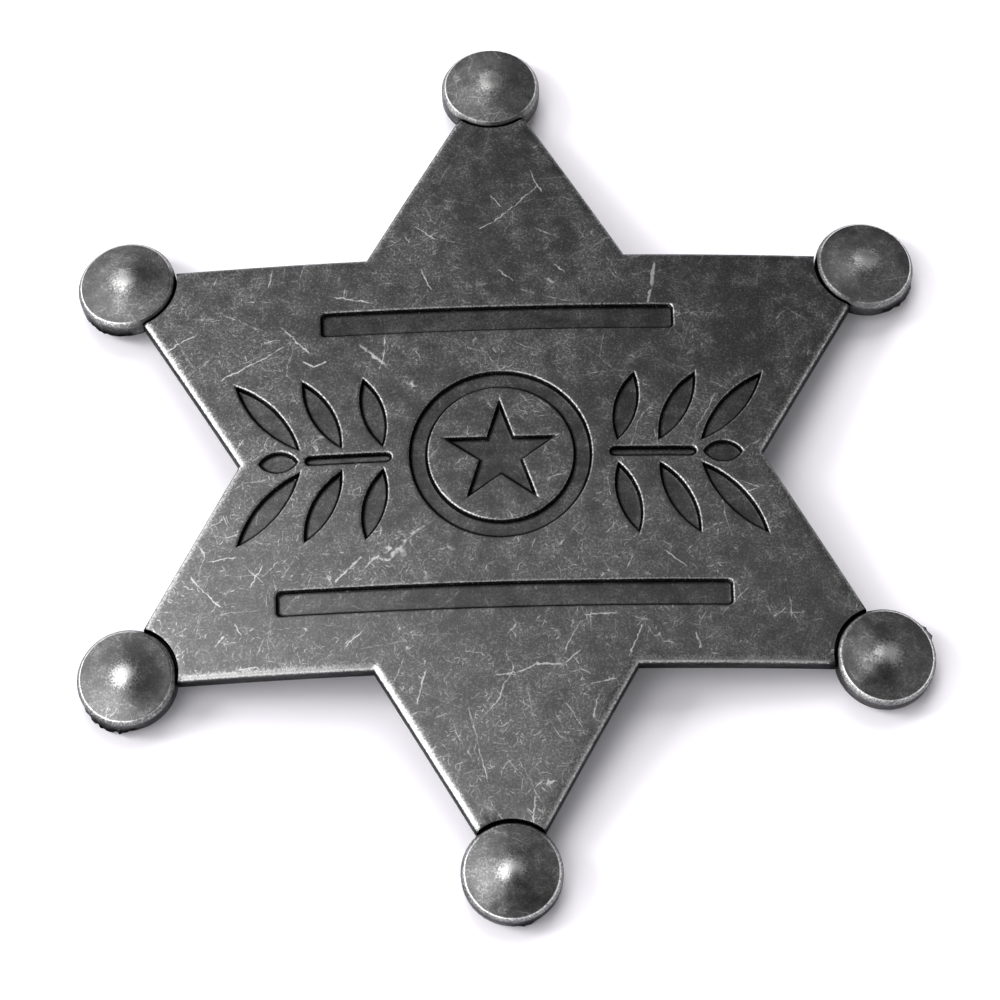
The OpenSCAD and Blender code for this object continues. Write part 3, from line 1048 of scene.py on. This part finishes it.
def long_scratches(tree, vector, paths):
    """The brightest of all strokes of these paths."""
    marks = 0.0
    for points, half_width in paths:
        for one, two in zip(points, points[1:]):
            run = Vector(two) - Vector(one)
            middle = (Vector(one) + Vector(two)) / 2 * MM
            stroke = use_group(tree, stroke_group, Vector=vector, Middle=middle.to_3d(),
                               Turn=-math.atan2(run.y, run.x), Reach=run.length / 2 * MM,
                               Width=half_width * MM)
            marks = maths(tree, "MAXIMUM", marks, stroke)
    return marks


# %% Bent and broken scratches
# Each noise: scale, detail, roughness, how far it bends in metres, where it breaks scratches up
BENDS = (
    (700.0, 5.0, 0.62, 0.0005, 0.36, 0.60),
    (2400.0, 2.0, 0.5, 0.0003, 0.36, 0.54),
)
LEFT_IN_BREAKS = 0.3


def bent_space(tree, at):
    """Space that is bent a little, and a mask with breaks, so that no scratch is straight or whole."""
    bent, whole = at, 1.0
    for scale, detail, roughness, reach, low, high in BENDS:
        value, colour = noise_cloud(tree, at, scale, detail, roughness)
        bent = vector_maths(tree, "MULTIPLY_ADD", colour, (reach, reach, 0.0), bent)
        whole = multiply(tree, whole, ramp(tree, value, low, high, LEFT_IN_BREAKS, 1.0))
    return bent, whole


def scratch_marks(tree, at, share, paths):
    """The strongest scratch at each place."""
    bent, whole = bent_space(tree, at)
    marks = 0.0
    for scale, width, length, density, bend, strength in HAIRLINES:
        layer = use_group(tree, scratch_group, Vector=bent, Scale=scale, Width=width,
                          Length=length, Density=density, Bend=bend)
        marks = maths(tree, "MAXIMUM", marks, multiply(tree, layer, strength))
    for scale, width, cover, strength in WANDERING:
        layer = use_group(tree, wandering_group, Vector=bent, Scale=scale, Width=width, Cover=cover)
        marks = maths(tree, "MAXIMUM", marks, multiply(tree, layer, strength))
    marks = multiply(tree, marks, share)
    if paths:
        strokes = long_scratches(tree, bent, paths)
        marks = maths(tree, "MAXIMUM", marks, multiply(tree, strokes, HAND_STRENGTH))
    return maths(tree, "MINIMUM", multiply(tree, marks, whole), 1.0)


# %% Black that runs in streaks
STREAKS = {"scale": 1100.0, "detail": 3.0}
STREAK_SHAPE = (0.12, 1.0, 1.0)
STREAK_DEPTH = -3.0


def streaked(tree, at, black_and_shade):
    """The black of the recesses with streaks along X, most where it is half black."""
    streak, _ = noise_cloud(tree, vector_maths(tree, "MULTIPLY", at, STREAK_SHAPE), **STREAKS)
    half_black = multiply(tree, black_and_shade, maths(tree, "SUBTRACT", 1.0, black_and_shade))
    thinned = multiply(tree, maths(tree, "SUBTRACT", streak, 0.5), half_black)
    return maths(tree, "MULTIPLY_ADD", thinned, STREAK_DEPTH, black_and_shade)


# %% Values of the film, in metres where they are places
GRAIN = {"scale": 6000.0, "detail": 2.0, "roughness": 0.8}
CLOUD_CONTRAST = 0.13
# X + Y over which the lower left corner's painted sheen and extra scratches fade out, and Y over which the
# upper arms lose scratches and get a painted shade
CORNER = (-0.035, -0.010)
UPPER_SCRATCHES = (-0.010, 0.014)
UPPER_TONE = (-0.012, 0.012)
CORNER_SCRATCHES, CORNER_TONE, UPPER_LOSS = 3.0, 1.5, 1.7
# From a value, to a value, and what they become
PATCHES = (0.2, 0.95, 0.12, 1.0)
SPECKS = (0.55, 0.80)
BROKEN_RIM, GRAIN_IN_RIM = (1.05, 2.0), 1.8
UNBLACKENED_POWER = 3.5
GRAIN_TONE, GRAIN_IN_CLOUDS = (0.3, 0.7), (0.55, 0.12)
CLOUD_TONE = (0.38, 0.325)
DARKEST_FILM, LIGHTEST_FILM = 0.4, 1.6
UNBLACKENED_TINT, BLACK_TINT = (0.85, 0.85, 0.85, 1), (0.4, 0.4, 0.4, 1)
CLOUD_ROUGH, BARE_ROUGH = 0.08, -0.10
BUMP_STRENGTH, BUMP_HEIGHT = 0.35, 0.00003


def new_metal(name):
    """A metal material. Gives it, its tree, its shader and places on the object."""
    material = bpy.data.materials.new(name)
    material.use_nodes = True
    tree = material.node_tree
    shader = tree.nodes["Principled BSDF"]
    shader.inputs["Metallic"].default_value = 1.0
    return material, tree, shader, add_node(tree, "ShaderNodeTexCoord").outputs["Object"]


def film_tone(tree, clouds, grain, y, corner, sheen_and_scratch_slope):
    """How light the film is, from 0 to 1: clouds and grain, with a painted shade above and a painted sheen
    at the lower left.
    """
    fine = multiply(tree, maths(tree, "SUBTRACT", ramp(tree, grain, *GRAIN_TONE), 0.5),
                    maths(tree, "MULTIPLY_ADD", clouds, *GRAIN_IN_CLOUDS))
    tone = maths(tree, "ADD", fine, maths(tree, "MULTIPLY_ADD", clouds, *CLOUD_TONE))
    tone = maths(tree, "SUBTRACT", tone, ramp(tree, y, *UPPER_TONE, 0.0, sheen_and_scratch_slope))
    return maths(tree, "MULTIPLY_ADD", corner, CORNER_TONE, tone)


# %% Antiqued metal material
def antiqued_metal(name, film, bare, black, gloss, scratch_share, speckle_share, cloud_scale,
                   sheen_and_scratch_slope=0.0, paths=()):
    material, tree, shader, at = new_metal(name)
    worn_and_highlit, black_and_shade = (add_node(tree, "ShaderNodeAttribute", attribute_name=value).outputs["Fac"]
                   for value in ("wear_and_highlight", "patina_and_shade"))
    black_and_shade = streaked(tree, at, black_and_shade)
    clouds = use_group(tree, cloud_group, Vector=at, Scale=cloud_scale, Contrast=CLOUD_CONTRAST)
    grain, _ = noise_cloud(tree, at, **GRAIN)
    x, y, _ = split(tree, at)
    # A painted sheen and more scratches at the lower left; fewer scratches and a painted shade above
    corner = ramp(tree, maths(tree, "ADD", x, y), *CORNER, sheen_and_scratch_slope, 0.0)

    patches = maths(tree, "MULTIPLY_ADD", corner, CORNER_SCRATCHES, ramp(tree, clouds, *PATCHES))
    upper = ramp(tree, y, *UPPER_SCRATCHES, 1.0, 1.0 - UPPER_LOSS * sheen_and_scratch_slope)
    marks = scratch_marks(tree, at, multiply(tree, patches, upper), paths)
    specks = multiply(tree, ramp(tree, grain, *SPECKS), clouds, speckle_share)
    unblackened = maths(tree, "POWER", maths(tree, "SUBTRACT", 1.0, black_and_shade), UNBLACKENED_POWER)
    scratched = multiply(tree, maths(tree, "MAXIMUM", specks, multiply(tree, marks, scratch_share)), unblackened)
    rim = ramp(tree, maths(tree, "MULTIPLY_ADD", grain, GRAIN_IN_RIM, worn_and_highlit), *BROKEN_RIM)

    darkest, lightest = ([share * c for c in film] + [1] for share in (DARKEST_FILM, LIGHTEST_FILM))
    tone = film_tone(tree, clouds, grain, y, corner, sheen_and_scratch_slope)
    film_colour = blend_colour(tree, tone, darkest, lightest)
    film_colour = blend_colour(tree, black_and_shade, film_colour, (*black, 1))
    colour = blend_colour(tree, maths(tree, "MAXIMUM", rim, scratched), film_colour, (*bare, 1))
    plug(tree, colour, shader.inputs["Base Color"])
    tint = blend_colour(tree, black_and_shade, UNBLACKENED_TINT, BLACK_TINT)
    plug(tree, tint, shader.inputs["Specular Tint"])
    film_rough = maths(tree, "MULTIPLY_ADD", clouds, CLOUD_ROUGH, gloss)
    plug(tree, maths(tree, "MULTIPLY_ADD", rim, BARE_ROUGH, film_rough), shader.inputs["Roughness"])

    bump = add_node(tree, "ShaderNodeBump")
    plug_named(tree, bump, Strength=BUMP_STRENGTH, Distance=BUMP_HEIGHT, Height=grain)
    plug_named(tree, shader, Normal=bump.outputs[0])
    return material


plate_metal = antiqued_metal("antiqued_plate_metal", film=(0.19, 0.19, 0.192), bare=(0.90, 0.90, 0.895),
                             black=(0.014, 0.014, 0.015), gloss=0.34, scratch_share=0.9,
                             speckle_share=0.7, cloud_scale=150.0, sheen_and_scratch_slope=0.18,
                             paths=LONG_SCRATCHES)
button_metal = antiqued_metal("antiqued_button_metal", film=(0.21, 0.21, 0.212),
                              bare=(0.88, 0.88, 0.875), black=(0.018, 0.018, 0.019), gloss=0.27,
                              scratch_share=0.45, speckle_share=0.6, cloud_scale=200.0)
star_plate.data.materials.append(plate_metal)
for button in buttons:
    button.data.materials.append(button_metal)
print("antiqued metal:", len(plate_metal.node_tree.nodes), "nodes on the plate,",
      len(button_metal.node_tree.nodes), "on the buttons")

# %% [markdown]
# ## Brooch pin
# The pin is bright nickel plate that was never antiqued. Its solid already has the right shape, so
# the CAD node stays and only gets a finish: smooth metal with faint drawing lines.

# %% Nickel plate
HAZE = {"Scale": 250.0, "Contrast": 0.3}
DRAWING_LINES = {"Scale": 600.0, "Width": 0.00003, "Length": 0.0014, "Density": 0.5, "Bend": 0.3}
DULL_NICKEL, BRIGHT_NICKEL = (0.46, 0.455, 0.44, 1), (0.6, 0.595, 0.58, 1)
NICKEL_ROUGH, HAZE_ROUGH, LINE_ROUGH = 0.24, 0.1, 0.15


def nickel_plate():
    material, tree, shader, at = new_metal("nickel_plate")
    haze = use_group(tree, cloud_group, Vector=at, **HAZE)
    lines = use_group(tree, scratch_group, Vector=at, **DRAWING_LINES)
    plug(tree, blend_colour(tree, haze, DULL_NICKEL, BRIGHT_NICKEL), shader.inputs["Base Color"])
    rough = maths(tree, "MULTIPLY_ADD", haze, HAZE_ROUGH, NICKEL_ROUGH)
    plug(tree, maths(tree, "MULTIPLY_ADD", lines, LINE_ROUGH, rough), shader.inputs["Roughness"])
    return material


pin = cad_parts["brooch_pin"]
pin.data.materials.clear()
pin.data.materials.append(nickel_plate())

# %% [markdown]
# ## Floor and light
# The badge lies on plain white board. A small soft box at the left and a larger one behind it throw
# the shadows to the right and towards the front, and the metal doesn't mirror those two. It mirrors
# a soft box high at the left and the room, a grey dome: brighter on the left and along the horizon,
# darker on the right and behind, a little lighter low on the right, and with a dark patch overhead.

# %% Floor
FLOOR_HALF = 0.75
FLOOR_COLOUR, FLOOR_ROUGH = (0.91, 0.89, 0.94, 1), 0.7


def make_floor():
    bm = bmesh.new()
    bmesh.ops.create_grid(bm, x_segments=1, y_segments=1, size=FLOOR_HALF)
    floor = add_object("floor", finished_mesh(bm, "floor"))
    material = bpy.data.materials.new("white_board")
    material.use_nodes = True
    shader = material.node_tree.nodes["Principled BSDF"]
    shader.inputs["Base Color"].default_value = FLOOR_COLOUR
    shader.inputs["Roughness"].default_value = FLOOR_ROUGH
    floor.data.materials.append(material)


make_floor()


# %% Soft boxes
def soft_box(name, place, size, power, mirrored):
    """A rectangular light that faces the badge."""
    light = bpy.data.lights.new(name, "AREA")
    light.shape, light.size, light.size_y = "RECTANGLE", *size
    light.energy = power
    box = add_object(name, light)
    box.location = place
    box.visible_glossy = mirrored
    box.rotation_euler = (-Vector(place)).to_track_quat("-Z", "Y").to_euler()


soft_box("left_light", place=(-1.2, 0.25, 0.75), size=(0.45, 0.45), power=12.0, mirrored=False)
soft_box("back_light", place=(0.0, 1.15, 0.9), size=(1.1, 1.1), power=18.5, mirrored=False)
soft_box("overhead_strip", place=(-0.50, -0.14, 0.80), size=(0.50, 0.55), power=1.02, mirrored=True)

# %% Room
# Each ramp: from a value of X, Y or Z of the direction, to a value, and what they become
LEFT_WALL, LEFT_POWER, LEFT_GAIN, ROOM_GREY = (-0.6, 0.5, 1.0, 0.0), 2.0, 0.55, 0.27
LEFT_STEP = (-0.3, 0.15, 0.5, 0.0)
LOW_RIGHT_Z, LOW_RIGHT_X = (0.25, 0.5, 0.2, 0.0), (0.0, 0.6)
HORIZON = (0.1, 0.6, 2.0, 1.0)
BEHIND = (0.35, 0.75, 1.0, 0.45)
WINDOW = (-0.9, -0.62, 1.1, 1.0)
DARK_PATCH_AT, DARK_PATCH = (0.06, -0.36, 0.93), (0.88, 0.985, 1.0, 0.15)


def make_room():
    world = bpy.data.worlds.new("room")
    world.use_nodes = True
    tree = world.node_tree
    direction = add_node(tree, "ShaderNodeTexCoord").outputs["Generated"]
    x, y, z = split(tree, direction)
    leftward = maths(tree, "POWER", ramp(tree, x, *LEFT_WALL), LEFT_POWER)
    side = maths(tree, "MULTIPLY_ADD", leftward, LEFT_GAIN, ROOM_GREY)
    side = maths(tree, "ADD", side, ramp(tree, x, *LEFT_STEP))
    side = maths(tree, "MULTIPLY_ADD", ramp(tree, z, *LOW_RIGHT_Z), ramp(tree, x, *LOW_RIGHT_X), side)
    toward_patch = vector_maths(tree, "DOT_PRODUCT", direction, Vector(DARK_PATCH_AT).normalized())
    strength = multiply(tree, side, ramp(tree, y, *BEHIND), ramp(tree, toward_patch, *DARK_PATCH),
                        ramp(tree, z, *HORIZON), ramp(tree, x, *WINDOW))
    shine = tree.nodes["Background"]
    shine.inputs["Color"].default_value = (1.0, 1.0, 1.0, 1)
    plug(tree, strength, shine.inputs["Strength"])
    bpy.context.scene.world = world


make_room()
bpy.context.scene.view_settings.view_transform = "Standard"
